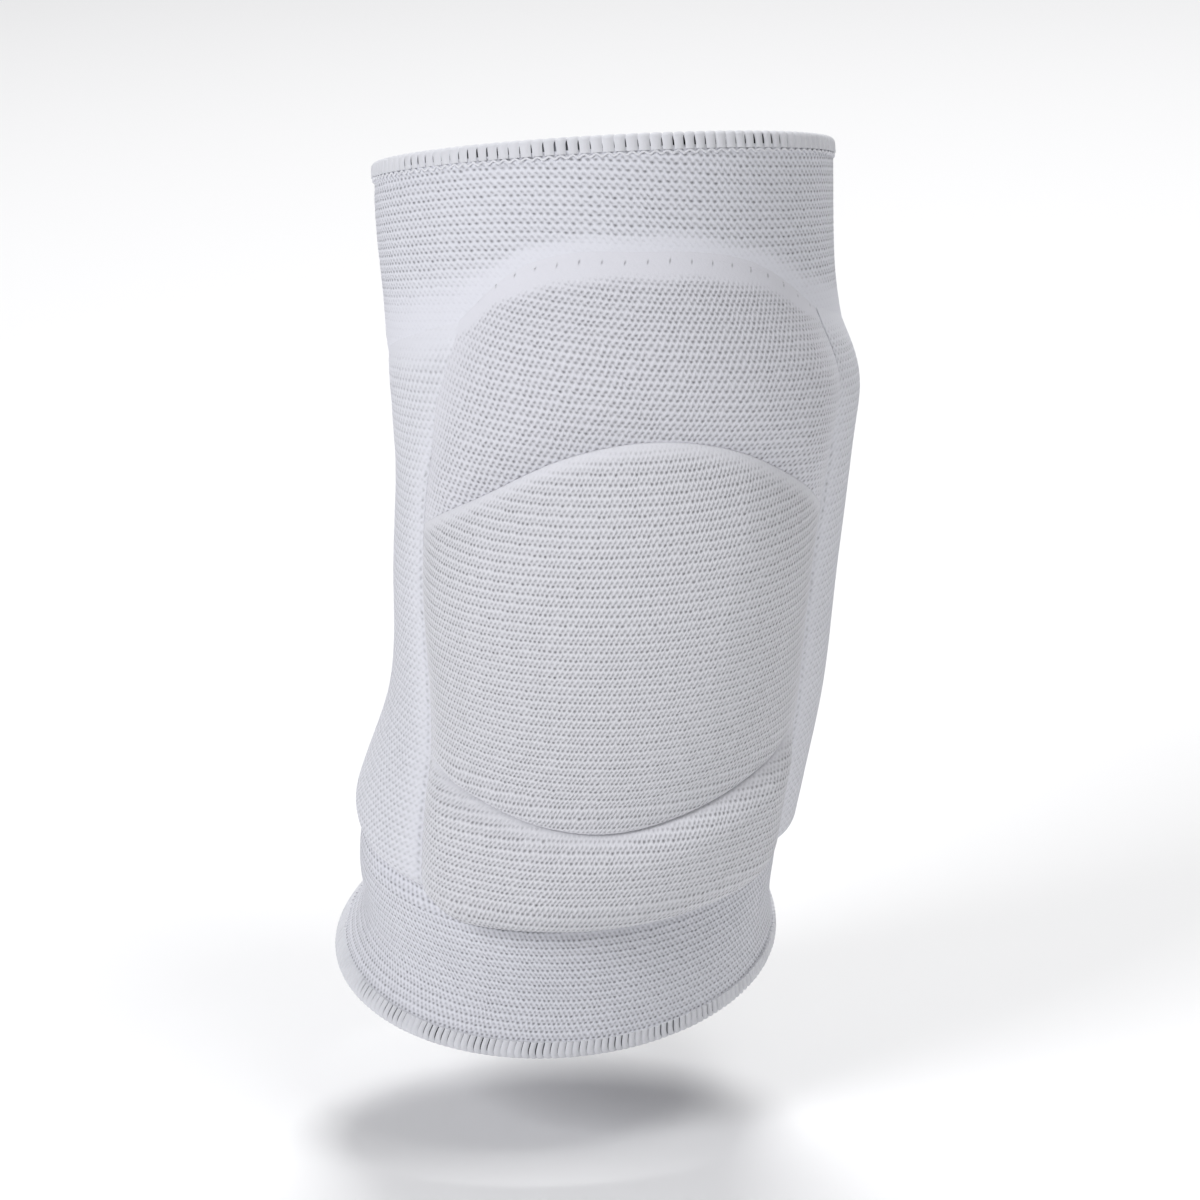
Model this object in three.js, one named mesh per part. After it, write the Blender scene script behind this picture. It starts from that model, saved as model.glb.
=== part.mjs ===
// A knitted elastic knee pad for sport, in the form it has on a slightly bent knee.
// Z is up along the leg, -Y is the front of the knee and +X is the right side seen from the front.
// The origin is the middle of the knee, inside the sleeve. Sizes are in millimetres and degrees.
import * as THREE from "three";

// The sleeve follows the leg: two arcs that meet upright at the middle of the knee
const UPPER_LENGTH = 102; // along the leg, from the middle of the knee to the upper rim
const LOWER_LENGTH = 103.5; // and to the lower rim
const THIGH_TILT = 15.5; // how far the leg leans back at the upper rim
const SHIN_TILT = 15.5; // and at the lower rim
const KNEE_WIDTH = 104; // outside of the sleeve across the middle of the knee
const KNEE_DEPTH = 104; // and from front to back
const LEG_LEAN = 18; // how far the shin end stands to one side of the knee
const RIM_SLANT = 1.4; // how much the lower rim is cut higher on one side
const SLEEVE_WALL = 2;

// The overlocked thread edging of the two rims
const TOP_EDGE_HEIGHT = 4;
const BOTTOM_EDGE_HEIGHT = 3.6;
const EDGE_WALL = 2.8; // through the rolled thread, across the wall
const EDGE_ROUNDING = 0.6; // 1 for an oval section, less for a squarer one

// The foam under the knit
const UPPER_FOAM = 8;
const CENTRE_FOAM = 12.5;
const LOWER_FOAM = 9.5;
const SIDE_FOAM = 3.4;
const SEAM_HEIGHT = 2; // where the upright seams pinch the panels
const ARC_HEIGHT = 5; // where the two arc seams pinch them
const FEATHER_HEIGHT = 0.9; // at an edge that runs out on the sleeve
const REAR_ANGLE = 118; // where the side pads end, round from the front

// Clearances
const SEAT_GAP = 0.4; // between the sleeve and what lies on it
const PANEL_GAP = 0.5; // between two neighbouring panels

// How finely the pieces are divided
const AROUND = 44;
const ALONG = 24;
const EDGE_CORNERS = 8;
const CROWDING = 0.6; // how much closer together a panel's rows lie near its edges
const DIVISIONS = {
  upper: { columns: 20, rows: 14 },
  centre: { columns: 22, rows: 18 },
  lower: { columns: 20, rows: 10 },
  wing: { columns: 10, rows: 22 },
};

// Sections of the sleeve. at: share of the upper (+) or lower (-) length.
// width and depth: shares of the knee's. lean: share of the lean to the right.
const SECTIONS = [
  { at: -1.0, width: 1.085, depth: 1.045, lean: -1.0 },
  { at: -0.88, width: 1.02, depth: 1.015, lean: -0.85 },
  { at: -0.75, width: 0.995, depth: 1.0, lean: -0.74 },
  { at: -0.55, width: 1.01, depth: 1.01, lean: -0.58 },
  { at: -0.3, width: 0.978, depth: 0.99, lean: -0.18 },
  { at: 0.0, width: 0.995, depth: 1.0, lean: 0.0 },
  { at: 0.4, width: 1.035, depth: 1.03, lean: 0.22 },
  { at: 0.6, width: 1.06, depth: 1.06, lean: 0.1 },
  { at: 0.8, width: 1.085, depth: 1.085, lean: 0.06 },
  { at: 1.0, width: 1.095, depth: 1.095, lean: 0.08 },
];

// The two upright seams. left and right: degrees round from the front.
const SEAMS = [
  { at: -0.66, left: 46, right: 58 },
  { at: -0.4, left: 56, right: 56 },
  { at: -0.1, left: 64, right: 56 },
  { at: 0.2, left: 66, right: 58 },
  { at: 0.42, left: 58, right: 61 },
  { at: 0.6, left: 47, right: 59 },
  { at: 0.8, left: 42, right: 52 },
];

// The lines across the front. across: -1 at the left seam, 1 at the right seam.
// brow: where the upper pad runs out. crown and chin: the centre pad's arcs. hem: the lower edge.
const ARCS = [
  { across: -1.0, hem: -0.65, chin: -0.345, crown: 0.165, brow: 0.64 },
  { across: -0.67, hem: -0.667, chin: -0.39, crown: 0.252, brow: 0.715 },
  { across: -0.33, hem: -0.674, chin: -0.435, crown: 0.345, brow: 0.775 },
  { across: 0.0, hem: -0.678, chin: -0.452, crown: 0.377, brow: 0.795 },
  { across: 0.33, hem: -0.682, chin: -0.425, crown: 0.351, brow: 0.78 },
  { across: 0.67, hem: -0.68, chin: -0.372, crown: 0.271, brow: 0.725 },
  { across: 1.0, hem: -0.665, chin: -0.304, crown: 0.17, brow: 0.62 },
];

// The side pads. back: 0 at the seam, 1 at the rear edge. foot and top: the ends.
const WINGS = [
  { back: 0.0, foot: -0.65, top: 0.63 },
  { back: 0.5, foot: -0.665, top: 0.555 },
  { back: 0.85, foot: -0.63, top: 0.47 },
  { back: 1.0, foot: -0.52, top: 0.36 },
];

// How each panel rises from its edges. start: height at the edge. ramp: how far in it is full.
// form: 0.5 for a steep rounded edge, 1 for a plain one, 2 for one that runs out softly.
const EDGES = {
  upper: {
    above: { start: FEATHER_HEIGHT, ramp: 17, form: 1.6 },
    below: { start: ARC_HEIGHT, ramp: 7, form: 0.7 },
    side: { start: SEAM_HEIGHT, ramp: 14, form: 0.8 },
  },
  centre: {
    above: { start: ARC_HEIGHT, ramp: 24, form: 0.55 },
    below: { start: ARC_HEIGHT, ramp: 24, form: 0.5 },
    side: { start: SEAM_HEIGHT, ramp: 28, form: 0.65 },
  },
  lower: {
    above: { start: ARC_HEIGHT, ramp: 7, form: 0.7 },
    below: { start: SEAM_HEIGHT, ramp: 7, form: 0.5 },
    side: { start: SEAM_HEIGHT, ramp: 14, form: 0.8 },
  },
  wing: {
    above: { start: FEATHER_HEIGHT, ramp: 17, form: 1.6 },
    below: { start: SEAM_HEIGHT, ramp: 8, form: 0.6 },
    side: { start: SEAM_HEIGHT, ramp: 10, form: 0.8 },
    rear: { start: FEATHER_HEIGHT, ramp: 14, form: 1.2 },
  },
};

const KNIT = new THREE.MeshStandardMaterial({ color: 0xe9eaf0, roughness: 0.85, metalness: 0 });
const THREAD = new THREE.MeshStandardMaterial({ color: 0xf2f3f6, roughness: 0.7, metalness: 0 });

// Reads a column of a table at x, on a smooth curve through its rows.
function read(table, key, column, x) {
  const last = table.length - 1;
  const at = Math.min(Math.max(x, table[0][key]), table[last][key]);
  let i = 0;
  while (i < last - 1 && at > table[i + 1][key]) i += 1;
  const slope = (j) => {
    const before = Math.max(j - 1, 0);
    const after = Math.min(j + 1, last);
    return (table[after][column] - table[before][column]) / (table[after][key] - table[before][key]);
  };
  const span = table[i + 1][key] - table[i][key];
  const t = (at - table[i][key]) / span;
  const start = table[i][column];
  const end = table[i + 1][column];
  const rise = end - start;
  const bendIn = slope(i) * span - rise;
  const bendOut = rise - slope(i + 1) * span;
  return start + rise * t + t * (1 - t) * ((1 - t) * bendIn + t * bendOut);
}

// Share of the leg's length, and back again.
function shareOf(along) {
  return along / (along < 0 ? LOWER_LENGTH : UPPER_LENGTH);
}

function lengthOf(share) {
  return share * (share < 0 ? LOWER_LENGTH : UPPER_LENGTH);
}

// The point of the bent leg at a length along it, an angle round from the front (radians)
// and a height out from the sleeve's outer face.
function onLeg(along, angle, out) {
  const share = shareOf(along);
  const width = (KNEE_WIDTH / 2) * read(SECTIONS, "at", "width", share);
  const depth = (KNEE_DEPTH / 2) * read(SECTIONS, "at", "depth", share);
  const lean = LEG_LEAN * read(SECTIONS, "at", "lean", share);
  const normal = new THREE.Vector2(Math.sin(angle) * depth, Math.cos(angle) * width).normalize();
  const right = lean + width * Math.sin(angle) + out * normal.x;
  const forward = depth * Math.cos(angle) + out * normal.y;
  const slant = RIM_SLANT * Math.sin(angle) * Math.min(share, 0) ** 2;
  const below = along + slant < 0;
  const tilt = THREE.MathUtils.degToRad(below ? SHIN_TILT : THIGH_TILT);
  const bend = tilt / (below ? LOWER_LENGTH : UPPER_LENGTH);
  const turn = bend * (along + slant);
  const back = (1 - Math.cos(turn)) / bend;
  const up = Math.sin(turn) / bend;
  return new THREE.Vector3(right, back - Math.cos(turn) * forward, up + Math.sin(turn) * forward);
}

// Moves every vertex of a geometry by a rule.
function reshape(geometry, rule) {
  const position = geometry.getAttribute("position");
  const vertex = new THREE.Vector3();
  for (let i = 0; i < position.count; i += 1) {
    vertex.fromBufferAttribute(position, i);
    position.setXYZ(i, ...rule(vertex).toArray());
  }
  geometry.computeVertexNormals();
  return geometry;
}

// A ring round the leg, turned straight from a closed profile of (along, out) points.
function ring(profile) {
  const core = KNEE_WIDTH / 2; // the radius it is turned at
  const points = profile.map((p) => new THREE.Vector2(core + p.out, p.along));
  const turned = new THREE.LatheGeometry([...points, points[0].clone()], AROUND);
  return reshape(turned, (v) => onLeg(v.y, Math.atan2(v.x, v.z), Math.hypot(v.x, v.z) - core));
}

function makeSleeve() {
  const low = -LOWER_LENGTH + BOTTOM_EDGE_HEIGHT + SEAT_GAP;
  const high = UPPER_LENGTH - TOP_EDGE_HEIGHT - SEAT_GAP;
  const outside = [];
  for (let i = 0; i <= ALONG; i += 1) {
    outside.push({ along: THREE.MathUtils.lerp(low, high, i / ALONG), out: 0 });
  }
  const inside = outside.map((p) => ({ along: p.along, out: -SLEEVE_WALL })).reverse();
  return ring([...outside, ...inside]);
}

// The rolled thread that closes a rim: a rounded band round the end of the wall.
function makeEdge(low, high) {
  const round = (x) => Math.sign(x) * Math.abs(x) ** EDGE_ROUNDING;
  const profile = [];
  for (let i = 0; i < EDGE_CORNERS; i += 1) {
    const turn = ((i + 0.5) / EDGE_CORNERS) * 2 * Math.PI;
    const across = round(Math.cos(turn));
    const along = round(Math.sin(turn));
    profile.push({
      along: (low + high) / 2 + (along * (high - low)) / 2,
      out: -SLEEVE_WALL / 2 + (across * EDGE_WALL) / 2,
    });
  }
  return ring(profile);
}

// The height of one edge's rise, as a share of the full foam, at a distance in from that edge.
function rise(edge, foam, distance) {
  const inwards = Math.min(Math.max(distance / edge.ramp, 0), 1);
  const start = edge.start / foam;
  return start + (1 - start) * Math.sin((inwards * Math.PI) / 2) ** edge.form;
}

// Places the rows and columns of a panel closer together near its edges.
function crowd(x) {
  return x - (CROWDING * Math.sin(2 * Math.PI * x)) / (2 * Math.PI);
}

// A padded panel: a slab of unit size laid on the sleeve.
// place(u, w) gives a length along the leg and an angle, and height(u, w) the foam there.
function panel({ columns, rows }, place, height) {
  const slab = new THREE.BoxGeometry(1, 1, 1, columns, rows, 1);
  return reshape(slab, (v) => {
    const u = crowd(v.x + 0.5);
    const w = crowd(v.y + 0.5);
    const { along, angle } = place(u, w);
    const out = SEAT_GAP + (v.z > 0 ? height(u, w) : 0);
    return onLeg(along, angle, out);
  });
}

function seamAngle(side, along) {
  return THREE.MathUtils.degToRad(read(SEAMS, "at", side, shareOf(along)));
}

// A panel of the front, between the two upright seams and two of the arcs.
function makeFrontPanel(part, lowLine, highLine, foam) {
  const edges = EDGES[part];
  const halfGap = PANEL_GAP / 2;
  const halfWidth = KNEE_WIDTH / 2;
  const low = (across) => lengthOf(read(ARCS, "across", lowLine, across)) + halfGap;
  const high = (across) => lengthOf(read(ARCS, "across", highLine, across)) - halfGap;
  const place = (u, w) => {
    const across = 2 * u - 1;
    const along = THREE.MathUtils.lerp(low(across), high(across), w);
    const reach = seamAngle(across < 0 ? "left" : "right", along) - halfGap / halfWidth;
    return { along, angle: across * reach, inwards: (1 - Math.abs(across)) * reach * halfWidth };
  };
  const height = (u, w) => {
    const across = 2 * u - 1;
    const { along, inwards } = place(u, w);
    return (
      foam *
      rise(edges.above, foam, high(across) - along) *
      rise(edges.below, foam, along - low(across)) *
      rise(edges.side, foam, inwards)
    );
  };
  return panel(DIVISIONS[part], place, height);
}

// A side pad, from an upright seam round to the rear edge. hand: -1 for the left one, 1 for the right.
function makeSidePanel(side, hand) {
  const halfGap = PANEL_GAP / 2;
  const halfWidth = KNEE_WIDTH / 2;
  const rear = THREE.MathUtils.degToRad(REAR_ANGLE);
  const foot = (back) => lengthOf(read(WINGS, "back", "foot", back));
  const top = (back) => lengthOf(read(WINGS, "back", "top", back));
  const place = (u, w) => {
    const back = hand < 0 ? 1 - u : u;
    const along = THREE.MathUtils.lerp(foot(back), top(back), w);
    const seam = seamAngle(side, along) + halfGap / halfWidth;
    return { along, angle: hand * THREE.MathUtils.lerp(seam, rear, back), back };
  };
  const height = (u, w) => {
    const { along, angle, back } = place(u, w);
    const seam = seamAngle(side, along) + halfGap / halfWidth;
    const edges = EDGES.wing;
    return (
      SIDE_FOAM *
      rise(edges.above, SIDE_FOAM, top(back) - along) *
      rise(edges.below, SIDE_FOAM, along - foot(back)) *
      rise(edges.side, SIDE_FOAM, (Math.abs(angle) - seam) * halfWidth) *
      rise(edges.rear, SIDE_FOAM, (rear - Math.abs(angle)) * halfWidth)
    );
  };
  return panel(DIVISIONS.wing, place, height);
}

const kneePad = new THREE.Group();

function add(name, geometry, material) {
  const mesh = new THREE.Mesh(geometry, material.clone());
  mesh.name = name;
  kneePad.add(mesh);
}

add("sleeve", makeSleeve(), KNIT);
add("top_edge", makeEdge(UPPER_LENGTH - TOP_EDGE_HEIGHT, UPPER_LENGTH), THREAD);
add("bottom_edge", makeEdge(-LOWER_LENGTH, -LOWER_LENGTH + BOTTOM_EDGE_HEIGHT), THREAD);
add("upper_pad", makeFrontPanel("upper", "crown", "brow", UPPER_FOAM), KNIT);
add("centre_pad", makeFrontPanel("centre", "chin", "crown", CENTRE_FOAM), KNIT);
add("lower_pad", makeFrontPanel("lower", "hem", "chin", LOWER_FOAM), KNIT);
add("left_side_pad", makeSidePanel("left", -1), KNIT);
add("right_side_pad", makeSidePanel("right", 1), KNIT);

export default kneePad;
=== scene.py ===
from math import cos, pi, radians, sin

import bmesh
import bpy
import numpy as np
from mathutils import Matrix, Vector


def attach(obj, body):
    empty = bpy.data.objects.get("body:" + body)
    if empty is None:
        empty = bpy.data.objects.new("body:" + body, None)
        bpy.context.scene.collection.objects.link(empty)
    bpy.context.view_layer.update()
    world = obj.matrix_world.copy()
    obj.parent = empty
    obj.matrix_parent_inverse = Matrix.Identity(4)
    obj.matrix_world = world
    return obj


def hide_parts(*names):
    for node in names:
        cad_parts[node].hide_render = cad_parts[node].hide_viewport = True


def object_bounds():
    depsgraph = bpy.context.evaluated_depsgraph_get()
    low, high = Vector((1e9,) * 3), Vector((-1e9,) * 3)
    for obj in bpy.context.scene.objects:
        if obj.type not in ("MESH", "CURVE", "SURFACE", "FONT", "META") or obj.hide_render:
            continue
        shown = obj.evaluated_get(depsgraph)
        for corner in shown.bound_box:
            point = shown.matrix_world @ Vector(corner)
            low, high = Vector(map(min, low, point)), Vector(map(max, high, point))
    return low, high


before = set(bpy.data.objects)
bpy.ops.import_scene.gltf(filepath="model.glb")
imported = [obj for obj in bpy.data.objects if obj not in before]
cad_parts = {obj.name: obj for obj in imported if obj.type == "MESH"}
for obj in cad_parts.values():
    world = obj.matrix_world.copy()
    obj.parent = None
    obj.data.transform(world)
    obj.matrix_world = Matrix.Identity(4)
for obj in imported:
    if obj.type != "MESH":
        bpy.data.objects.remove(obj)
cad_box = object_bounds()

MM = 0.001

# The camera stands in front of the knee, a little above it and a little to its left, and is turned
# slightly, as in the photograph. The pad is above and to the right of the middle of the picture.
PICTURE = 1200
SENSOR_WIDTH_MM = 36
FOCAL_LENGTH_MM = 168
CAMERA_DISTANCE = 1.4
CAMERA_AZIMUTH = radians(-4.3)
CAMERA_ELEVATION = radians(15.7)
CAMERA_ROLL = radians(2.04)
PAD_RIGHT_OF_MIDDLE = 15.8 / PICTURE
PAD_ABOVE_MIDDLE = 40.1 / PICTURE

lens = bpy.data.cameras.new("lens")
lens.sensor_width = SENSOR_WIDTH_MM
lens.lens = FOCAL_LENGTH_MM
lens.shift_x = -PAD_RIGHT_OF_MIDDLE
lens.shift_y = -PAD_ABOVE_MIDDLE
camera = bpy.data.objects.new("camera", lens)
bpy.context.scene.collection.objects.link(camera)
bpy.context.scene.camera = camera

back = Vector((sin(CAMERA_AZIMUTH) * cos(CAMERA_ELEVATION),
               -cos(CAMERA_AZIMUTH) * cos(CAMERA_ELEVATION),
               sin(CAMERA_ELEVATION)))
level = Vector((cos(CAMERA_AZIMUTH), sin(CAMERA_AZIMUTH), 0))
upright = back.cross(level)
across_picture = cos(CAMERA_ROLL) * level - sin(CAMERA_ROLL) * upright
up_picture = sin(CAMERA_ROLL) * level + cos(CAMERA_ROLL) * upright
turned = Matrix((across_picture, up_picture, back)).transposed().to_4x4()
camera.matrix_world = Matrix.Translation(back * CAMERA_DISTANCE) @ turned


# The sleeve is a tube knitted in one piece from covered elastic, with fine ribs round the leg.
# It is drawn over the bent knee and shows as the two cuffs and at the back. The pads' pockets are
# knitted on along upright seams and curved lines, and the knit is drawn smooth where a pad runs out.
UPPER_LENGTH = 102 * MM
LOWER_LENGTH = 103.5 * MM
THIGH_TILT = radians(15.5)
SHIN_TILT = radians(15.5)
KNEE_RADIUS = 52 * MM
LEG_LEAN = 18 * MM
RIM_SLANT = 1.4 * MM
SLEEVE_WALL = 2 * MM
FULL_SIDES = 1.9 * MM  # how far the sides of the leg stand out above the knee
FULL_SIDES_AT = 52 * MM
FULL_SIDES_REACH = 14 * MM
TOP_EDGE_HEIGHT = 4 * MM
BOTTOM_EDGE_HEIGHT = 3.6 * MM
REAR_ANGLE = radians(118)

LOWER_CUFF_TOP = -73 * MM
LOWER_CUFF_STITCHES = 256  # round the leg
SLEEVE_STITCHES = 184
SLEEVE_UNDER_EDGE = 1.6 * MM  # how far the knit goes on under the rims' thread
SLEEVE_COLUMNS = 240
SLEEVE_ROWS = 150
LINING_ROWS = 50


def table(columns, *rows):
    """Rows of numbers, kept as one array for each named column."""
    return dict(zip(columns.split(), np.array(rows).T))


# at: share of the upper or lower length; width and depth: shares of the knee's; lean: of the lean
SECTIONS = table(
    "at width depth lean",
    (-1.0, 1.085, 1.045, -1.0),
    (-0.88, 0.998, 1.015, -0.82),
    (-0.75, 1.018, 1.0, -0.8),
    (-0.65, 1.02, 1.005, -0.73),
    (-0.55, 1.01, 1.01, -0.58),
    (-0.3, 0.978, 0.99, -0.18),
    (0.0, 0.995, 1.0, 0.0),
    (0.4, 1.035, 1.03, 0.22),
    (0.6, 1.06, 1.06, 0.1),
    (0.8, 1.085, 1.085, 0.06),
    (1.0, 1.095, 1.095, 0.08),
)

# Ribs of the knit, counted up the leg from the middle of the knee
RIBS = table(
    "at count",
    (-1.0, -55),
    (0.0, 0),
    (0.59, 29),
    (1.0, 51),
)

# The upright seams, in degrees round from the front
SEAMS = table(
    "at left right",
    (-0.66, 46, 58),
    (-0.4, 56, 56),
    (-0.1, 64, 56),
    (0.2, 66, 58),
    (0.42, 58, 61),
    (0.6, 47, 59),
    (0.8, 42, 52),
)

# The lines across the front, as shares of the leg's length: across is -1 at the left seam, 1 at the
# right seam. The foam ends at the hem and the brow, and needle is a line of stitches.
ARCS = table(
    "across hem chin crown needle brow",
    (-1.0, -0.65, -0.345, 0.165, 0.65, 0.67),
    (-0.67, -0.66, -0.388, 0.252, 0.725, 0.755),
    (-0.33, -0.662, -0.432, 0.345, 0.748, 0.785),
    (0.0, -0.664, -0.447, 0.377, 0.743, 0.787),
    (0.33, -0.662, -0.422, 0.351, 0.737, 0.778),
    (0.67, -0.654, -0.372, 0.271, 0.7, 0.737),
    (1.0, -0.64, -0.304, 0.17, 0.61, 0.655),
)

# The ends of the side pads. back: 0 at the seam, 1 at the rear edge; slant: how much higher the foot
# is on the left and lower on the right
WINGS = table(
    "back foot slant top",
    (0.0, -0.65, 0.0, 0.665),
    (0.5, -0.655, 0.03, 0.6),
    (0.85, -0.62, 0.03, 0.5),
    (1.0, -0.52, 0.02, 0.4),
)


def read(rows, key, column, x):
    """A column of a table at x, on a smooth curve through its rows."""
    keys, values = rows[key], rows[column]
    x = np.clip(x, keys[0], keys[-1])
    slopes = np.gradient(values)
    slopes[1:-1] = (values[2:] - values[:-2]) / (keys[2:] - keys[:-2])
    slopes[[0, -1]] = np.diff(values)[[0, -1]] / np.diff(keys)[[0, -1]]
    i = np.clip(np.searchsorted(keys, x) - 1, 0, len(keys) - 2)
    span = keys[i + 1] - keys[i]
    t = (x - keys[i]) / span
    rise = values[i + 1] - values[i]
    bend_in = slopes[i] * span - rise
    bend_out = rise - slopes[i + 1] * span
    return values[i] + rise * t + t * (1 - t) * ((1 - t) * bend_in + t * bend_out)


def share_of(along):
    return along / np.where(along < 0, LOWER_LENGTH, UPPER_LENGTH)


def length_of(share):
    return share * np.where(share < 0, LOWER_LENGTH, UPPER_LENGTH)


def seam_angle(side, along):
    return np.radians(read(SEAMS, "at", side, share_of(along)))


def arc(line, across):
    return length_of(read(ARCS, "across", line, across))


def wing_end(line, behind, hand):
    """An end of the side pads: hand is -1 on the left and 1 on the right."""
    share = read(WINGS, "back", line, behind)
    if line == "foot":
        share = share - hand * read(WINGS, "back", "slant", behind)
    return length_of(share)


def fade(distance, start, reach):
    """1 up to a distance, falling smoothly to 0 over a reach."""
    t = np.clip((distance - start) / reach, 0, 1)
    return 1 - t * t * (3 - 2 * t)


def close_to(distance, reach):
    """1 at a place, falling to 0 on both sides of it over about a reach."""
    return np.exp(-((distance / reach) ** 2))


def on_leg(along, angle, out):
    """Points of the bent leg: length along it, angle round from the front, height off the sleeve."""
    share = share_of(along)
    out = out + FULL_SIDES * close_to(along - FULL_SIDES_AT, FULL_SIDES_REACH) * np.sin(angle) ** 6
    width = KNEE_RADIUS * read(SECTIONS, "at", "width", share)
    depth = KNEE_RADIUS * read(SECTIONS, "at", "depth", share)
    lean = LEG_LEAN * read(SECTIONS, "at", "lean", share)
    facing = np.hypot(np.sin(angle) * depth, np.cos(angle) * width)
    right = lean + width * np.sin(angle) + out * np.sin(angle) * depth / facing
    forward = depth * np.cos(angle) + out * np.cos(angle) * width / facing
    slant = RIM_SLANT * np.sin(angle) * np.minimum(share, 0) ** 2
    below = along + slant < 0
    bend = np.where(below, SHIN_TILT / LOWER_LENGTH, THIGH_TILT / UPPER_LENGTH)
    turn = bend * (along + slant)
    behind = (1 - np.cos(turn)) / bend - np.cos(turn) * forward
    up = np.sin(turn) / bend + np.sin(turn) * forward
    return np.stack((right, behind, up), axis=-1)


def ribs(along):
    """The count of ribs at a place on the leg."""
    return np.interp(share_of(along), RIBS["at"], RIBS["count"])


def wander(along, angle, size):
    """A smooth uneven height from -1 to 1, with bumps of about the given size."""
    up = along / size
    turns = angle * round(KNEE_RADIUS / size)
    return (np.sin(1.9 * up + 1.3 * np.sin(turns + 0.7))
            + np.sin(2 * turns + 1.7 * np.sin(0.8 * up + 2.1))
            + np.sin(1.4 * up - turns + 0.4)) / 3


WELD_DISTANCE = 0.002 * MM
SHARP_ANGLE = radians(60)


def piece_of(form, name, place, material):
    """A bmesh made of unit shapes becomes a piece: place(x, y, z) gives its vertices' points and
    the maps that its material reads, each a name and two numbers for each vertex."""
    mesh = bpy.data.meshes.new(name)
    form.to_mesh(mesh)
    form.free()
    flat = np.empty(len(mesh.vertices) * 3)
    mesh.vertices.foreach_get("co", flat)
    points, maps = place(*flat.reshape(-1, 3).T)
    mesh.vertices.foreach_set("co", points.astype(np.float32).ravel())
    corners = np.empty(len(mesh.loops), np.int32)
    mesh.loops.foreach_get("vertex_index", corners)
    for map_name, values in maps.items():
        layer = mesh.uv_layers.new(name=map_name)
        layer.uv.foreach_set("vector", np.stack(values, axis=-1)[corners].astype(np.float32).ravel())
    closed = bmesh.new()
    closed.from_mesh(mesh)
    bmesh.ops.remove_doubles(closed, verts=list(closed.verts), dist=WELD_DISTANCE)
    bmesh.ops.recalc_face_normals(closed, faces=list(closed.faces))
    closed.to_mesh(mesh)
    closed.free()
    mesh.shade_smooth()
    mesh.set_sharp_from_angle(angle=SHARP_ANGLE)
    mesh.materials.append(material)
    piece = bpy.data.objects.new(name, mesh)
    bpy.context.scene.collection.objects.link(piece)
    return piece


class Shade:
    """A shader socket. Arithmetic on it adds Math nodes to its material."""

    def __init__(self, tree, socket=None):
        self.tree = tree
        self.socket = socket

    def node(self, kind, settings, inputs, output=0):
        """Adds a node: its settings first, then the values or links of its sockets."""
        made = self.tree.nodes.new(kind)
        for name, value in settings.items():
            setattr(made, name, value)
        for name, value in inputs.items():
            if isinstance(value, Shade):
                self.tree.links.new(value.socket, made.inputs[name])
            else:
                made.inputs[name].default_value = value
        return Shade(self.tree, made.outputs[output])

    def maths(self, operation, *others):
        return self.node("ShaderNodeMath", {"operation": operation}, dict(enumerate((self, *others))))

    def __add__(self, other):
        return self.maths("ADD", other)

    __radd__ = __add__

    def __sub__(self, other):
        return self.maths("SUBTRACT", other)

    def __rsub__(self, other):
        return self * -1 + other

    def __mul__(self, other):
        return self.maths("MULTIPLY", other)

    __rmul__ = __mul__

    def wave(self):
        """A ripple from 0 to 1 with its crests at the whole numbers."""
        return (self * (2 * pi)).maths("COSINE") * 0.5 + 0.5

    def wrapped(self):
        """How far a count is from its nearest whole number, from -0.5 to 0.5."""
        return (self + 0.5).maths("FRACT") - 0.5

    def map(self, name):
        """One of the piece's maps, and its two numbers."""
        place = self.node("ShaderNodeUVMap", {"uv_map": name}, {})
        return place, *(place.node("ShaderNodeSeparateXYZ", {}, {"Vector": place}, i) for i in (0, 1))

    def noise(self, place, scale, detail):
        return self.node("ShaderNodeTexNoise", {}, {"Vector": place, "Scale": scale, "Detail": detail})

    def spot(self, across, down, width, height):
        """1 where across and down are 0, falling to 0 round it."""
        across = across * (1 / width)
        down = down * (1 / height)
        return ((across * across + down * down) * -1).maths("EXPONENT")


def painted(name, roughness, sheen):
    """A new material: the material, its shader and a Shade that adds nodes to it."""
    material = bpy.data.materials.new(name)
    material.use_nodes = True
    surface = material.node_tree.nodes["Principled BSDF"]
    surface.inputs["Roughness"].default_value = roughness
    surface.inputs["Specular IOR Level"].default_value = 0.25
    surface.inputs["Sheen Weight"].default_value = sheen
    surface.inputs["Sheen Roughness"].default_value = 0.5
    return material, surface, Shade(material.node_tree)


def blend(shade, share, start, end):
    """A colour between two, as a share from 0 to 1."""
    share = share.maths("MAXIMUM", 0.0).maths("MINIMUM", 1.0)
    return shade.node("ShaderNodeMix", {"data_type": "RGBA"},
                      {0: share, 6: (*start, 1), 7: (*end, 1)}, output=2)


def finish(surface, colour, relief, depth):
    """Gives a material's shader its colour and, as a bump of a depth, its relief."""
    bump = relief.node("ShaderNodeBump", {}, {"Height": relief, "Strength": 1.0, "Distance": depth})
    surface.id_data.links.new(colour.socket, surface.inputs["Base Color"])
    surface.id_data.links.new(bump.socket, surface.inputs["Normal"])


KNIT_RELIEF = 0.26 * MM


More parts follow.
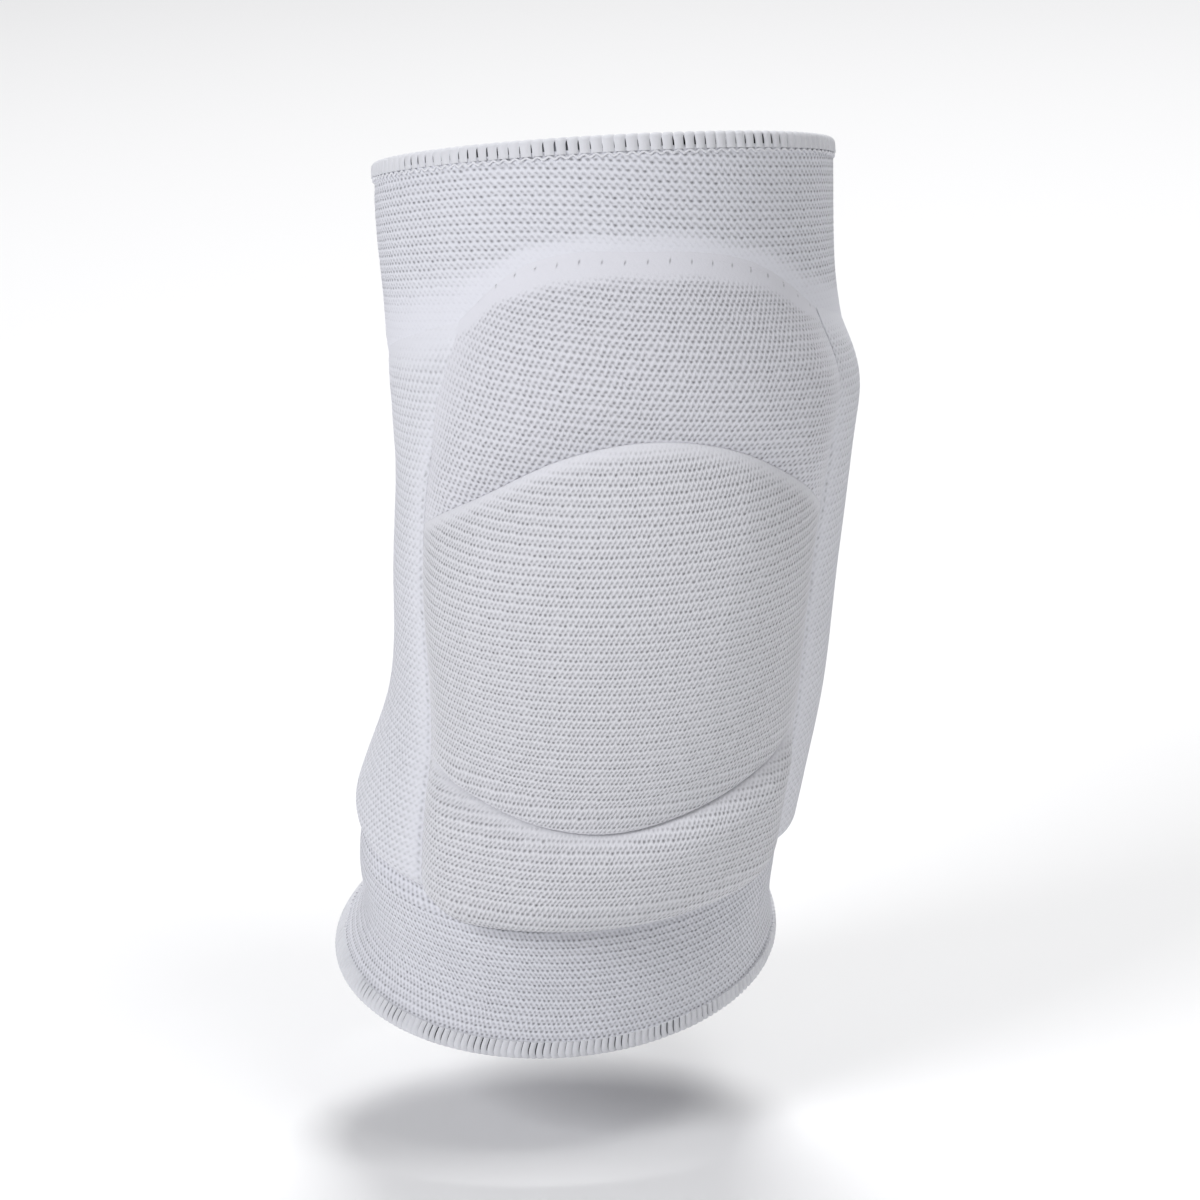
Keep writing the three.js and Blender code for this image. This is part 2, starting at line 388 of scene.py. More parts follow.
def knit_material(name, colour, open_stitches, second_row=0.55, lean=1, seams=True, needles=False):
    """Knitted elastic: ribs with two staggered rows of holes between them, in the stitches and ribs
    of the map "knit", and strands that cross it with a lean of 1 to the right or -1 to the left.
    The map "calm" says where the knit is pulled smooth. seams and needles add the dents of the
    upright seams and of the needle line, from maps of their own."""
    material, surface, shade = painted(name, 0.92, 0.1)
    place, column, row = shade.map("knit")
    calm = shade.map("calm")[1]
    point = shade.node("ShaderNodeTexCoord", {}, {}, output="Object")

    waves = shade.noise(place, 0.13, 2.0)
    spread = shade.noise(place, 0.71, 1.0)
    column = column + (waves - 0.5) * 1.6
    row = row + (spread - 0.5) * 0.34
    strength = (1 - calm) * (0.35 + spread * 1.3) * open_stitches
    low = (row - 0.3).wrapped()
    high = (row - 0.72).wrapped()
    lower = shade.spot((column - low * (0.3 * lean)).wrapped(), low, 0.23, 0.13)
    upper = shade.spot((column + 0.5 - high * (0.8 * lean)).wrapped(), high, 0.2, 0.14)
    holes = (lower + upper * second_row) * strength
    if seams:
        aside, beat = shade.map("seam")[1:]
        beside = shade.spot(aside - 0.9, (beat + (spread - 0.5)).wrapped(), 0.42, 0.2)
        holes = holes + beside * (spread * 1.2)
    if needles:
        above, stitch = shade.map("needle")[1:]
        above = above + (waves - 0.5) * 3
        needled = shade.spot(above, (stitch + above * 0.06).wrapped(), 0.45, 0.04)
        holes = holes + needled * (waves * 1.5)

    crest = (row + (column.wave() - 0.5) * 0.34).wave()
    strands = (column - row * lean + (0.5 + 0.26 * lean)).wave()
    fine = shade.noise(point, 3000.0, 3.0)
    ridges = (crest * 0.8 + strands * 0.2) * (1 - calm * 0.92)
    relief = ridges * 0.7 + fine * 0.16 - holes
    # The colour is darkened as painted shade in the holes, in the dents beside the seams and in the
    # needle holes, and lightened as a painted highlight on the ribs and strands. The open knit is a
    # little darker than knit drawn smooth, and the fine noise gives random tone.
    shadow = holes * 0.62 + (1 - calm) * 0.1 - ridges * 0.12 + (fine - 0.5) * 0.08
    dark = [part * 0.2 for part in colour]
    finish(surface, blend(shade, shadow, colour, dark), relief, KNIT_RELIEF)
    return material


def pads_end(along, angle, line, end):
    """How far along the leg the pads reach: a line of the front and an end of the side pads."""
    seam = np.where(angle < 0, seam_angle("left", along), seam_angle("right", along))
    turn = np.abs(angle)
    behind = np.clip((turn - seam) / (REAR_ANGLE - seam), 0, 1)
    wing = wing_end(end, behind, np.sign(angle))
    return np.where(turn < seam, arc(line, np.clip(angle / seam, -1, 1)), wing)


def knit_maps(along, angle, calm, stitches, sag):
    """The maps of a knitted piece. sag is the number of ribs that its knit hangs low."""
    return {"knit": (angle / (2 * pi) * stitches, ribs(along) + sag), "calm": (calm, calm)}


def sleeve_maps(along, angle, calm):
    """The maps of the sleeve's own knit, with finer stitches in the lower cuff."""
    stitches = np.where(along > LOWER_CUFF_TOP, SLEEVE_STITCHES, LOWER_CUFF_STITCHES)
    in_cuff = 1 - fade(along, 45 * MM, 20 * MM)
    sag = in_cuff * (1.2 * np.sin(angle) + 0.4 * np.sin(3 * angle))
    return knit_maps(along, angle, calm, stitches, sag)


SLEEVE_LOW = -LOWER_LENGTH + BOTTOM_EDGE_HEIGHT
SLEEVE_HIGH = UPPER_LENGTH - TOP_EDGE_HEIGHT + SLEEVE_UNDER_EDGE

# Above the pads the knit is drawn smooth: a little in front, further at the left and right sides
SMOOTH_IN_FRONT = 2.5 * MM
SMOOTH_MORE_LEFT = 11 * MM
SMOOTH_MORE_RIGHT = 3 * MM
SMOOTH_SIDES_FROM = radians(28)
SMOOTH_SIDES_REACH = radians(22)
SMOOTH_BELOW = 8 * MM  # how far below the pads' top it may begin

# The pads' lower edges press the knit in just below them, deeper in front than at the sides
HEM_TUCK = 2.0 * MM
SIDE_TUCK = 0.7 * MM
TUCK_BELOW_EDGE = 1.9 * MM
TUCK_REACH = 2.4 * MM
TUCK_FRONT = radians(62)
TUCK_FRONT_REACH = radians(14)

UNEVEN = 0.2 * MM  # how far slack cloth wanders in and out
REAR_FADE = 0.5  # the smooth knit and the tuck end over this angle before the side pads' rear edges

# A small crease below the upper rim, at the left of the front
CREASE_DEPTH = 0.6 * MM
CREASE_BELOW_RIM = 5.5 * MM
CREASE_REACH = 1.2 * MM
CREASE_ANGLE = -1.1
CREASE_ANGLE_REACH = 0.5


def calm_above_pads(along, angle, beside_pads):
    """How smooth the sleeve's knit is drawn above the pads, from 0 to 1."""
    above = along - pads_end(along, angle, "brow", "top")
    above = above + 0.8 * MM * wander(along, angle, 6 * MM)
    sideways = 1 - fade(np.abs(angle), SMOOTH_SIDES_FROM, SMOOTH_SIDES_REACH)
    reach = SMOOTH_IN_FRONT + sideways * np.where(angle < 0, SMOOTH_MORE_LEFT, SMOOTH_MORE_RIGHT)
    return np.where(above > -SMOOTH_BELOW, 0.9 * beside_pads * fade(above, 0, reach), 0)


def tuck_below_pads(along, angle, beside_pads):
    """How far the pads' lower edges press the sleeve's knit in."""
    below = pads_end(along, angle, "hem", "foot") - along
    in_front = fade(np.abs(angle), TUCK_FRONT, TUCK_FRONT_REACH)
    depth = beside_pads * (SIDE_TUCK + (HEM_TUCK - SIDE_TUCK) * in_front)
    return depth * close_to(below - TUCK_BELOW_EDGE, TUCK_REACH)


def sleeve_place(x, y, z):
    """Lays the tube round the leg, its outside at z = 1 and its lining at z = 0. The two rows beside
    the lower cuff's top are drawn together, as the stitches change there."""
    angle = 2 * pi * x
    along = SLEEVE_LOW + (y + 0.5) * (SLEEVE_HIGH - SLEEVE_LOW)
    from_cuff = along - LOWER_CUFF_TOP
    at_cuff = np.abs(from_cuff) < (SLEEVE_HIGH - SLEEVE_LOW) / SLEEVE_ROWS
    along = np.where(at_cuff, LOWER_CUFF_TOP + 0.01 * MM * np.sign(from_cuff), along)
    angle_here = (angle + pi) % (2 * pi) - pi
    beside_pads = fade(np.abs(angle_here), REAR_ANGLE - REAR_FADE, REAR_FADE)
    calm = calm_above_pads(along, angle_here, beside_pads)
    tucked = tuck_below_pads(along, angle_here, beside_pads)
    uneven = UNEVEN * wander(along, angle, 14 * MM)
    below_rim = close_to(UPPER_LENGTH - along - CREASE_BELOW_RIM, CREASE_REACH)
    crease = CREASE_DEPTH * close_to(angle - CREASE_ANGLE, CREASE_ANGLE_REACH) * below_rim
    out = np.where(z > 0.5, uneven - crease - tucked, -SLEEVE_WALL)
    return on_leg(along, angle, out), sleeve_maps(along, angle, calm)


tube = bmesh.new()
bmesh.ops.create_grid(tube, x_segments=SLEEVE_COLUMNS, y_segments=SLEEVE_ROWS, size=0.5)
bmesh.ops.translate(tube, verts=list(tube.verts), vec=(0, 0, 1))
bmesh.ops.create_grid(tube, x_segments=SLEEVE_COLUMNS, y_segments=LINING_ROWS, size=0.5)
for end in (-0.5, 0.5):
    rims = [e for e in tube.edges if all(abs(v.co.y - end) < 1e-6 for v in e.verts)]
    bmesh.ops.bridge_loops(tube, edges=rims)

sleeve_knit = knit_material("sleeve_knit", (0.715, 0.72, 0.77), 0.95, lean=-1, seams=False)
sleeve = piece_of(tube, "knit_sleeve", sleeve_place, sleeve_knit)
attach(sleeve, "root")
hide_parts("sleeve")


# Both rims are cut edges, rolled in and closed by an overlock seam: loops of thick soft thread over
# the edge, wide ones at the top and narrow, slanted ones at the bottom. At the top a wavy thread
# holds their feet.
EDGE_HALF = 1.15 * MM  # from the middle of the wall to the middle of the loops' thread
ROLL_INSIDE = 0.35 * MM  # how far the rolled edge lies inside the loops
LOOP_STEPS = 14
LOOP_SIDES = 8
WAVE_HEIGHT = 0.32 * MM
WAVE_HALF_THICKNESS = 0.3 * MM
WAVE_STEPS = 8
WAVE_BELOW_LOOPS = 0.5 * MM
EDGE_ROWS = 20

# filled: share of the edge that the loops cover; thick: half the thickness of their thread;
# slant: how far they run on along the edge as they rise
LOOPS = {
    "top_edge": {"rim": UPPER_LENGTH, "height": 3.2 * MM, "count": 126, "filled": 0.99,
                 "thick": 0.5 * MM, "slant": 0.35 * MM},
    "bottom_edge": {"rim": -LOWER_LENGTH, "height": 4.0 * MM, "count": 196, "filled": 1.02,
                    "thick": 0.46 * MM, "slant": 1.5 * MM},
}


def over_rim(turn, rim, height, half):
    """A line over the rim, from the outer foot at 0 to the inner foot at 1, as along and out."""
    round_out = np.sign(np.cos(pi * turn)) * np.abs(np.cos(pi * turn)) ** 0.5
    round_up = np.clip(np.sin(pi * turn), 0, 1) ** 0.5
    return rim - np.sign(rim) * height * (1 - round_up), -SLEEVE_WALL / 2 + half * round_out


def rolled_edge(rim, height):
    """Lays a ring round the rim, over it from the outer foot to the inner foot and back below."""
    def place(x, y, z):
        angle, turn = 2 * pi * x, 2 * (y + 0.5)
        inner_rim = rim - np.sign(rim) * ROLL_INSIDE
        half = EDGE_HALF - ROLL_INSIDE
        along, out = over_rim(np.minimum(turn, 1), inner_rim, height - ROLL_INSIDE, half)
        out = out + np.clip(turn - 1, 0, 1) * 2 * half
        return on_leg(along, angle, out), {"edge": (angle * KNEE_RADIUS / MM, turn)}
    return place


def loops(rim, height, count, filled, thick, slant):
    """Lays tubes of thread over the rim, each a little thicker, thinner or further on than the last."""
    def place(x, y, z):
        which = np.round(x / 4)
        aside, lift, turn = x - 4 * which, y, np.clip(z + 0.5, 0, 1)
        pitch = 2 * pi * KNEE_RADIUS / count
        uneven = 0.07 * pitch * np.sin(which * 12.9898)
        thinner = 1 - 0.12 * np.cos(2 * pi * turn) + 0.08 * np.sin(which * 7.1)
        bow = 0.12 * pitch * np.sin(2 * pi * turn)
        girth = uneven - bow + slant * 2 * turn + aside * thinner * filled * pitch / 2
        step = 0.004
        before = over_rim(np.clip(turn - step, 0, 1), rim, height, EDGE_HALF)
        after = over_rim(np.clip(turn + step, 0, 1), rim, height, EDGE_HALF)
        run_along, run_out = after[0] - before[0], after[1] - before[1]
        run = np.hypot(run_along, run_out)
        outward = np.sign(rim) * np.sign(lift) * np.abs(lift) ** 0.8 * thick
        along, out = over_rim(turn, rim, height, EDGE_HALF)
        along = along - outward * run_out / run
        out = out + outward * run_along / run
        angle = 2 * pi * which / count + girth / KNEE_RADIUS
        return on_leg(along, angle, out), {"thread": (turn * 9, aside * filled * pitch / MM)}
    return place


def feet_waves(rim, height, count):
    """Lays a wavy thread along the loops' feet outside, at z = 1, and one inside, at z = 0."""
    def place(x, y, z):
        angle, around = 2 * pi * x, 2 * pi * y
        from_rim = height + WAVE_BELOW_LOOPS
        middle = rim - np.sign(rim) * from_rim + WAVE_HEIGHT * np.cos(angle * count)
        along = middle + WAVE_HALF_THICKNESS * np.sin(around)
        face = np.where(z > 0.5, 0.2 * MM, -SLEEVE_WALL - 0.1 * MM)
        out = face + WAVE_HALF_THICKNESS * np.cos(around)
        return on_leg(along, angle, out), {"thread": (angle * count, y)}
    return place


def thread_tubes(count):
    """Unit tubes of thread side by side along X, four units apart."""
    form = bmesh.new()
    bmesh.ops.create_cone(form, cap_ends=True, segments=LOOP_SIDES, radius1=1, radius2=1, depth=1)
    upright_edges = [e for e in form.edges if abs(e.verts[0].co.z - e.verts[1].co.z) > 0.5]
    bmesh.ops.subdivide_edges(form, edges=upright_edges, cuts=LOOP_STEPS - 1)
    tube_parts = list(form.verts) + list(form.edges) + list(form.faces)
    for i in range(1, count):
        copied = bmesh.ops.duplicate(form, geom=tube_parts)["geom"]
        copied_verts = [v for v in copied if isinstance(v, bmesh.types.BMVert)]
        bmesh.ops.translate(form, verts=copied_verts, vec=(4 * i, 0, 0))
    return form


def ring(columns, sides, layers=1):
    """Unit squares, one above the other, that are closed into rings when they are placed."""
    form = bmesh.new()
    for i in range(layers):
        made = bmesh.ops.create_grid(form, x_segments=columns, y_segments=sides, size=0.5)["verts"]
        bmesh.ops.translate(form, verts=made, vec=(0, 0, i))
    return form


def thread_material():
    """Bulky white sewing thread, whose fine strands run along it."""
    material, surface, shade = painted("overlock_thread", 0.8, 0.2)
    place, length, aside = shade.map("thread")
    strands = (aside * 2.4 + length * 0.25).wave()
    fine = shade.noise(place, 6.0, 2.0)
    # Painted shade in the grooves between the strands, with random tone from the noise.
    colour = blend(shade, (1 - strands) * 0.1 + fine * 0.12, (0.76, 0.765, 0.8), (0.4, 0.41, 0.44))
    finish(surface, colour, strands * 0.6 + fine * 0.4, 0.08 * MM)
    return material


def edge_shade_material():
    """The cut edge under the loops, painted dark as painted shade: the shade seen where the stitches
    open, and they open unevenly.
    """
    material, surface, shade = painted("rolled_edge", 0.95, 0.0)
    place = shade.map("edge")[0]
    uneven = (shade.noise(place, 0.11, 2.0) - 0.5) * 4 + 0.6
    # Painted shade: dark grey to near black, unevenly, for the shade seen through the gaps between the
    # loops.
    finish(surface, blend(shade, uneven, (0.3, 0.31, 0.34), (0.02, 0.02, 0.025)),
           shade.noise(place, 2.0, 2.0), 0.1 * MM)
    return material


overlock_thread = thread_material()
painted_edge_shade = edge_shade_material()
for name, size in LOOPS.items():
    rim, height, count = size["rim"], size["height"], size["count"]
    edge_form = ring(SLEEVE_COLUMNS, EDGE_ROWS)
    rolled = piece_of(edge_form, f"{name}_rolled", rolled_edge(rim, height), painted_edge_shade)
    pieces = [rolled, piece_of(thread_tubes(count), f"{name}_loops", loops(**size), overlock_thread)]
    if name == "top_edge":
        pieces.append(piece_of(ring(count * WAVE_STEPS, LOOP_SIDES, 2), f"{name}_waves",
                               feet_waves(rim, height, count), overlock_thread))
    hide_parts(name)
    for piece in pieces:
        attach(piece, "root")


# The upper pad lies over the end of the thigh: foam in a pocket of the knit, which is drawn smooth
# where the foam runs out at the top and is held there by a line of needle stitches.
SEAT_GAP = 0.4 * MM
PANEL_GAP = 0.03 * MM
FEATHER = -0.9 * MM  # where the foam has run out, the knit goes down into the sleeve's
CROWDING = 0.6
UPPER_FOAM = 8 * MM
SIDE_FOAM = 3.4 * MM
BROW_RAMP = 28 * MM
UPPER_SEAM_RAMP = 20 * MM
UPPER_ARC_RAMP = 12 * MM
SEAM_HEIGHT = 2.2 * MM
SEAM_OPENS = (14 * MM, 26 * MM)  # the upright seams deepen over this stretch from the pads' top down
ARC_HEIGHT = 4.6 * MM
ARC_END_RAMP = 14 * MM
PINCH_REACH = 1.3 * MM
UPPER_PINCH = 0.4 * MM
TIGHT_UNEVEN = 0.15 * MM  # how far tightly drawn cloth wanders
BROW_FORM = 1.35
SMOOTH_BAND = 6.5 * MM  # from the brow down
NEEDLE_PITCH = 5 * MM
UPPER_STITCHES = 246
UPPER_COLUMNS = 150
UPPER_ROWS = 130


def crowd(x):
    """Places rows and columns closer together near the edges."""
    return x - CROWDING * np.sin(2 * pi * x) / (2 * pi)


def raised(height, low, distance, reach, form):
    """A height that begins low at an edge and is full at a distance in from it. A form below 1 makes
    a full edge, and one above 1 a soft ramp."""
    return low + (height - low) * np.sin(np.clip(distance / reach, 0, 1) * pi / 2) ** form


def arc_low(to_seam, height):
    """The height along a line across the front, where it comes down to the upright seams."""
    return raised(height, SEAM_HEIGHT, to_seam, ARC_END_RAMP, 1)


def roll(distance, reach, bulge):
    """How far a full edge bulges out over its seam."""
    return bulge * np.sin(pi * np.sqrt(np.clip(distance / reach, 0, 1)))


def seam_start(below_top):
    """How much of an upright seam shows at a distance below the pads' top, from 0 to 1."""
    return 1 - fade(below_top, SEAM_OPENS[0], SEAM_OPENS[1])


def seam_map(to_seam, along, shown):
    """The map "seam": the distance to the seam, far off where none shows, and the ribs."""
    return to_seam / MM + 9 * (1 - shown), ribs(along)


def pinch(distance, along, depth):
    """Small dents beside an upright seam, one at each rib."""
    beat = 0.6 + 0.4 * np.cos(2 * pi * ribs(along))
    return -depth * close_to(distance, PINCH_REACH) * beat * (1 + 0.5 * wander(along, 0, 6 * MM))


def slab(columns, rows):
    """A unit square of fabric and foam: its face is one unit above its back."""
    form = bmesh.new()
    bmesh.ops.create_grid(form, x_segments=columns, y_segments=rows, size=0.5)
    face_parts = bmesh.ops.extrude_face_region(form, geom=list(form.faces))["geom"]
    face_verts = [v for v in face_parts if isinstance(v, bmesh.types.BMVert)]
    bmesh.ops.translate(form, verts=face_verts, vec=(0, 0, 1))
    return form


def placed(along, angle, height, face):
    """The points of a slab on the sleeve: its back is just under its face where it runs out."""
    back = np.minimum(SEAT_GAP, SEAT_GAP + height - 0.1 * MM)
    return on_leg(along, angle, np.where(face, SEAT_GAP + height, back))


def front_panel(low_line, high_line, foam, stitches, tilt=0, sag=0):
    """Lays a slab between the two upright seams and two of the lines across. foam gives, from the
    place and the distances to the edges, the height, the bulge along the leg and the calm. The
    knit hangs lower by tilt ribs at the right seam and by sag ribs in the middle."""
    def place(x, y, z):
        across = 2 * crowd(x + 0.5) - 1
        low = arc(low_line, across) + PANEL_GAP / 2
        high = arc(high_line, across) - PANEL_GAP / 2
        along = low + (high - low) * crowd(y + 0.5)
        reach = np.where(across < 0, seam_angle("left", along), seam_angle("right", along))
        angle = across * (reach - PANEL_GAP / 2 / KNEE_RADIUS)
        to_seam = (1 - np.abs(across)) * reach * KNEE_RADIUS
        height, bulge, calm = foam(along, across, angle, high - along, along - low, to_seam)
        face = z > 0.5
        maps = knit_maps(along, angle, calm, stitches, tilt * across + sag * (1 - across**2))
        shown = seam_start(high - along) if high_line == "brow" else 1 + 0 * along
        maps["seam"] = seam_map(to_seam, along, shown)
        if high_line == "brow":
            in_cuff = high - along < SMOOTH_BAND / 2
            maps["knit"] = np.where(in_cuff, sleeve_maps(along, angle, calm)["knit"], maps["knit"])
            maps["needle"] = ((arc("needle", across) - along) / MM, angle * KNEE_RADIUS / NEEDLE_PITCH)
        return placed(along + np.where(face, bulge, 0), angle, height, face), maps
    return place


def upper_foam(along, across, angle, below_brow, above_crown, to_seam):
    """Full at the crown, with a long soft ramp up to the brow."""
    shown = seam_start(below_brow)
    at_seam = SIDE_FOAM + (SEAM_HEIGHT - SIDE_FOAM) * shown
    height = raised(UPPER_FOAM, at_seam, to_seam, UPPER_SEAM_RAMP, 1)
    height = raised(height, arc_low(to_seam, ARC_HEIGHT), above_crown, UPPER_ARC_RAMP, 0.95)
    height = raised(height, FEATHER, below_brow, BROW_RAMP, BROW_FORM)
    within = 1 - fade(below_brow, 0, 12 * MM)
    height += pinch(to_seam, along, UPPER_PINCH) * shown
    height += UNEVEN * wander(along, angle, 12 * MM) * within
    ragged = below_brow + 0.8 * MM * wander(along, angle, 5 * MM)
    band = fade(ragged, SMOOTH_BAND, 3.5 * MM)
    beside_seam = 0.7 * close_to(to_seam, 9 * MM) * within
    return height, 0 * along, np.maximum(band, beside_seam)


upper_knit = knit_material("upper_pad_knit", (0.7, 0.7, 0.745), 0.88, second_row=0.85, needles=True)
upper_place = front_panel("crown", "brow", upper_foam, UPPER_STITCHES, tilt=3.1, sag=1.2)
upper_pad = piece_of(slab(UPPER_COLUMNS, UPPER_ROWS), "upper_pad_cover", upper_place, upper_knit)
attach(upper_pad, "root")
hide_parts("upper_pad")


# The centre pad takes the fall: the thickest foam, over the kneecap, under tight knit. Its two curved
# edges are full and stand over the seams, where the knit is drawn down.
CENTRE_FOAM = 12.5 * MM
CROWN_RAMP = 24 * MM
CHIN_RAMP = 58 * MM
CENTRE_SEAM_RAMP = 34 * MM
CENTRE_PINCH = 0.35 * MM
CHIN_BULGE = 1.4 * MM
CHIN_ROLL = 6 * MM
CENTRE_STITCHES = 324
CENTRE_COLUMNS = 150
CENTRE_ROWS = 170


def centre_foam(along, across, angle, below_crown, above_chin, to_seam):
    """A dome with full edges at the crown and the chin."""
    arc_height = arc_low(to_seam, ARC_HEIGHT)
    height = raised(CENTRE_FOAM, SEAM_HEIGHT, to_seam, CENTRE_SEAM_RAMP, 0.9)
    height = raised(height, arc_height, below_crown, CROWN_RAMP, 0.72)
    height = raised(height, arc_height, above_chin, CHIN_RAMP, 0.68)
    height += pinch(to_seam, along, CENTRE_PINCH)
    height += TIGHT_UNEVEN * wander(along, angle, 16 * MM)
    full = np.clip(to_seam / (12 * MM), 0, 1)
    bulge = -full * roll(above_chin, CHIN_ROLL, CHIN_BULGE)
    calm = np.maximum(0.9 * fade(below_crown, 0.5 * MM, 4 * MM), fade(above_chin, 0.3 * MM, 1.5 * MM))
    return height, bulge, np.maximum(calm, 0.6 * close_to(to_seam, 5 * MM))


pad_knit = knit_material("pad_knit", (0.7, 0.7, 0.735), 0.95)
centre_place = front_panel("chin", "crown", centre_foam, CENTRE_STITCHES, sag=1.6)
centre_pad = piece_of(slab(CENTRE_COLUMNS, CENTRE_ROWS), "centre_pad_cover", centre_place, pad_knit)
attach(centre_pad, "root")
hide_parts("centre_pad")


# The lower pad lies over the top of the shin. Its lower edge is full and stands over the cuff, and
# the knit is gathered in short upright folds where it meets the centre pad.
LOWER_FOAM = 9.5 * MM
LOWER_RAMP = 7 * MM
CHIN_HEIGHT = 3.0 * MM
CHIN_LIP_RAMP = 9 * MM
LOWER_SEAM_RAMP = 14 * MM
HEM_HEIGHT = 1.2 * MM
HEM_BULGE = 2.2 * MM
HEM_ROLL = 7 * MM
LOWER_PINCH = 0.35 * MM
GATHER_PITCH = 3.1 * MM
GATHER_DEPTH = 0.16 * MM
GATHER_LENGTH = 3.5 * MM
LOWER_STITCHES = 312
LOWER_COLUMNS = 220
LOWER_ROWS = 80


def lower_foam(along, across, angle, below_chin, above_hem, to_seam):
    """A band with a full lower edge, gathered below the chin."""
    height = raised(LOWER_FOAM, SEAM_HEIGHT, to_seam, LOWER_SEAM_RAMP, 0.9)
    height = raised(height, arc_low(to_seam, CHIN_HEIGHT), below_chin, CHIN_LIP_RAMP, 0.9)
    height = raised(height, HEM_HEIGHT, above_hem, LOWER_RAMP, 0.5)
    height += pinch(to_seam, along, LOWER_PINCH)
    height += UNEVEN * wander(along, angle, 13 * MM)
    girth = angle * KNEE_RADIUS
    folds = np.sin(2 * pi * girth / GATHER_PITCH + 1.6 * wander(girth, 0, 7 * MM))
    ends = 0.25 + 0.75 * np.clip((np.abs(across) - 0.35) / 0.4, 0, 1)
    gathered = ends * np.exp(-below_chin / GATHER_LENGTH) * np.clip(to_seam / (3 * MM), 0, 1)
    height += GATHER_DEPTH * folds * gathered
    bulge = -roll(above_hem, HEM_ROLL, HEM_BULGE) * np.clip(to_seam / (14 * MM), 0, 1)
    calm = np.maximum(fade(above_hem, 0.5 * MM, 2 * MM), 0.6 * close_to(to_seam, 5 * MM))
    calm = np.maximum(calm, 0.8 * fade(below_chin, 0.8 * MM, 3 * MM))
    return height, bulge, calm


lower_place = front_panel("hem", "chin", lower_foam, LOWER_STITCHES, tilt=1)
lower_pad = piece_of(slab(LOWER_COLUMNS, LOWER_ROWS), "lower_pad_cover", lower_place, pad_knit)
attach(lower_pad, "root")
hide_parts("lower_pad")


# The two side pads are thin foam from the upright seams round to the sides of the leg. They run out
# softly at the top and the rear and end in a low rounded step above the lower cuff.
SIDE_FOOT_RAMP = 5 * MM
SIDE_FOOT_DEPTH = 1.5 * MM  # how far the foot goes down into the sleeve's knit
SIDE_SEAM_RAMP = 10 * MM
SIDE_REAR_RAMP = 14 * MM
SIDE_PINCH = 0.3 * MM
SIDE_COLUMNS = 64
SIDE_ROWS = 270


def side_panel(side, hand):
    """Lays a slab on one side of the leg: hand is -1 on the left and 1 on the right."""
    def place(x, y, z):
        behind = crowd(x + 0.5)
        foot = wing_end("foot", behind, hand)
        top = wing_end("top", behind, hand)
        along = foot + (top - foot) * crowd(y + 0.5)
        seam = seam_angle(side, along) + PANEL_GAP / 2 / KNEE_RADIUS
        turn = seam + (REAR_ANGLE - seam) * behind
        to_seam = (turn - seam) * KNEE_RADIUS
        shown = seam_start(top - along)
        at_seam = SIDE_FOAM + (SEAM_HEIGHT - SIDE_FOAM) * shown
        height = raised(SIDE_FOAM, at_seam, to_seam, SIDE_SEAM_RAMP, 0.9)
        height = raised(height, -SIDE_FOOT_DEPTH, along - foot, SIDE_FOOT_RAMP, 0.5)
        height = raised(height, FEATHER, top - along, BROW_RAMP, BROW_FORM)
        height = raised(height, FEATHER, (REAR_ANGLE - turn) * KNEE_RADIUS, SIDE_REAR_RAMP, 1.2)
        height += pinch(to_seam, along, SIDE_PINCH) * shown
        height += TIGHT_UNEVEN * wander(along, turn, 13 * MM) * np.clip(height / MM, 0, 1)
        beside_seam = 0.6 * close_to(to_seam, 5 * MM) * shown
        angle = hand * turn
        drawn = 0.9 * fade(top - along + 1.5 * MM * wander(along, angle, 6 * MM), 5 * MM, 9 * MM)
        maps = sleeve_maps(along, angle, np.maximum(beside_seam, drawn))
        maps["seam"] = seam_map(to_seam, along, shown)
        return placed(along, angle, height, z > 0.5), maps
    return place


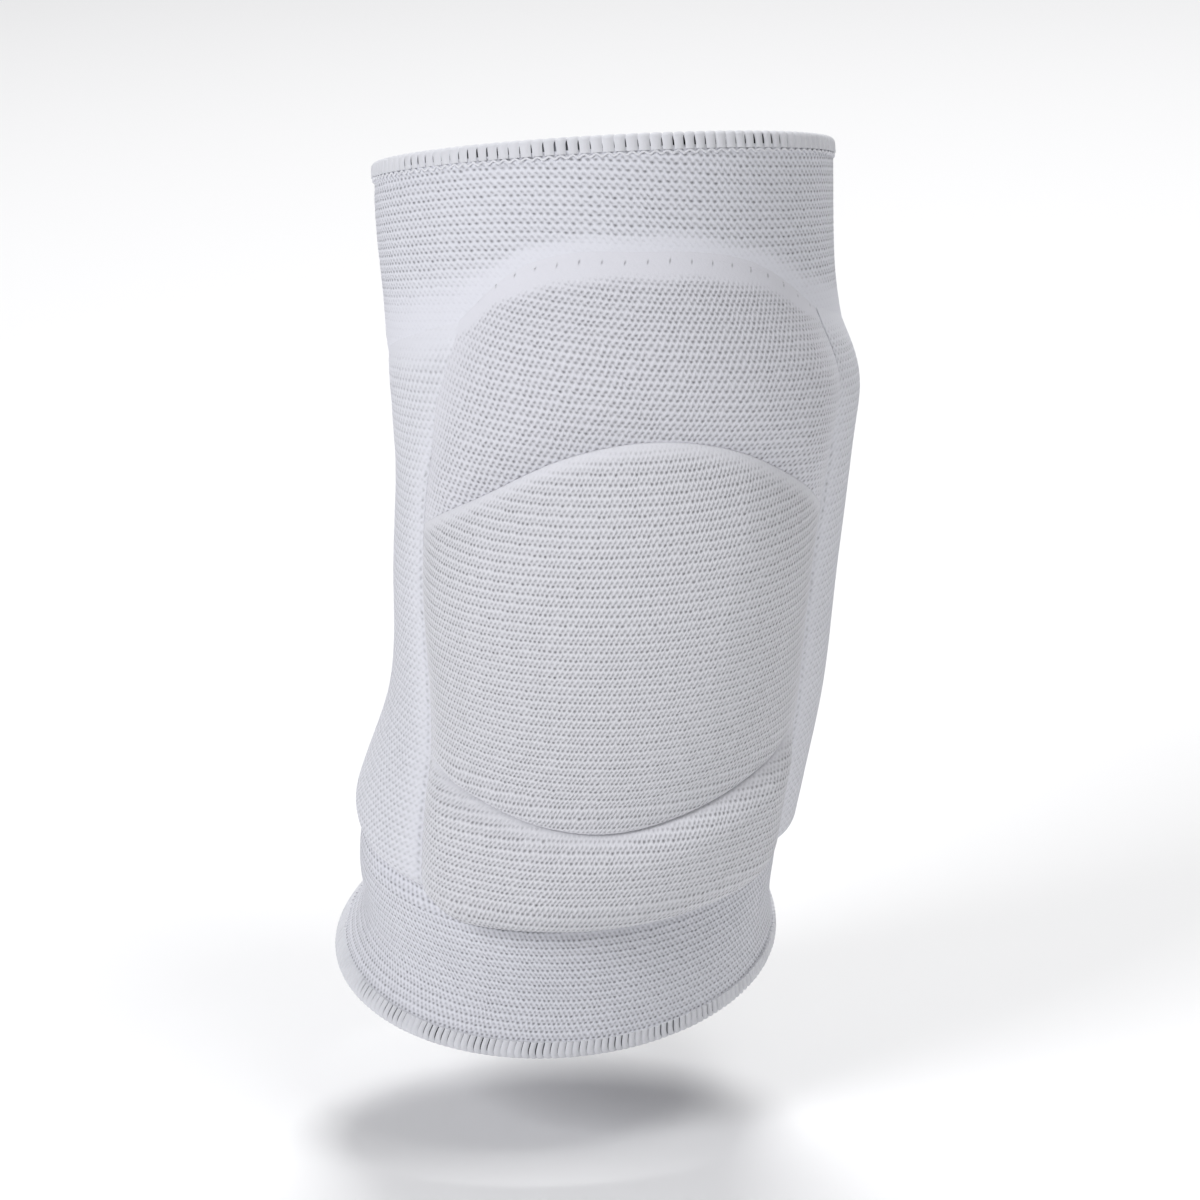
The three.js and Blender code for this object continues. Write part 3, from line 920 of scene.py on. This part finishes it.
side_knit = knit_material("side_pad_knit", (0.715, 0.72, 0.765), 0.5)
for side, hand in (("left", -1), ("right", 1)):
    side_pad = piece_of(slab(SIDE_COLUMNS, SIDE_ROWS), f"{side}_side_pad_cover",
                        side_panel(side, hand), side_knit)
    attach(side_pad, "root")
    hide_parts(f"{side}_side_pad")


# Plain floor and studio light. A broad soft light on the left gives the form, with a weaker one
# above and the pale room all round, and a third behind and above the knee whitens the floor.
FLOOR_DROP = 30 * MM
FLOOR_HALF_SIZE = 6
LIGHT_SIZE = 0.9
lowest = cad_box[0][2]
floor_form = bmesh.new()
bmesh.ops.create_grid(floor_form, x_segments=1, y_segments=1, size=FLOOR_HALF_SIZE)
floor_mesh = bpy.data.meshes.new("floor")
floor_form.to_mesh(floor_mesh)
floor_form.free()
floor_mesh.transform(Matrix.Translation((0, 0, lowest - FLOOR_DROP)))
floor = bpy.data.objects.new("floor", floor_mesh)
bpy.context.scene.collection.objects.link(floor)
floor_paint = bpy.data.materials.new("floor_paint")
floor_paint.use_nodes = True
floor_surface = floor_paint.node_tree.nodes["Principled BSDF"]
floor_surface.inputs["Base Color"].default_value = (0.9, 0.9, 0.9, 1)
floor_surface.inputs["Roughness"].default_value = 0.9
floor_mesh.materials.append(floor_paint)


def soft_light(name, place, power, colour=(1.0, 1.0, 1.0)):
    """A square light that faces the knee."""
    lamp = bpy.data.lights.new(name, "AREA")
    lamp.size = LIGHT_SIZE
    lamp.energy = power
    lamp.color = colour
    light = bpy.data.objects.new(name, lamp)
    light.location = place
    light.rotation_mode = "QUATERNION"
    light.rotation_quaternion = Vector(place).to_track_quat("Z", "Y")
    bpy.context.scene.collection.objects.link(light)


soft_light("left_light", (-1.5, -1.3, 1.2), 27.5, (0.965, 0.97, 1.0))
soft_light("top_light", (0.8, -1.0, 2.2), 14)
soft_light("floor_light", (0.3, 1.3, 2.2), 40)

world = bpy.data.worlds.new("studio")
world.use_nodes = True
room = world.node_tree.nodes["Background"]
room.inputs["Color"].default_value = (0.98, 0.98, 1.0, 1)
room.inputs["Strength"].default_value = 0.3
bpy.context.scene.world = world
bpy.context.scene.view_settings.view_transform = "Standard"
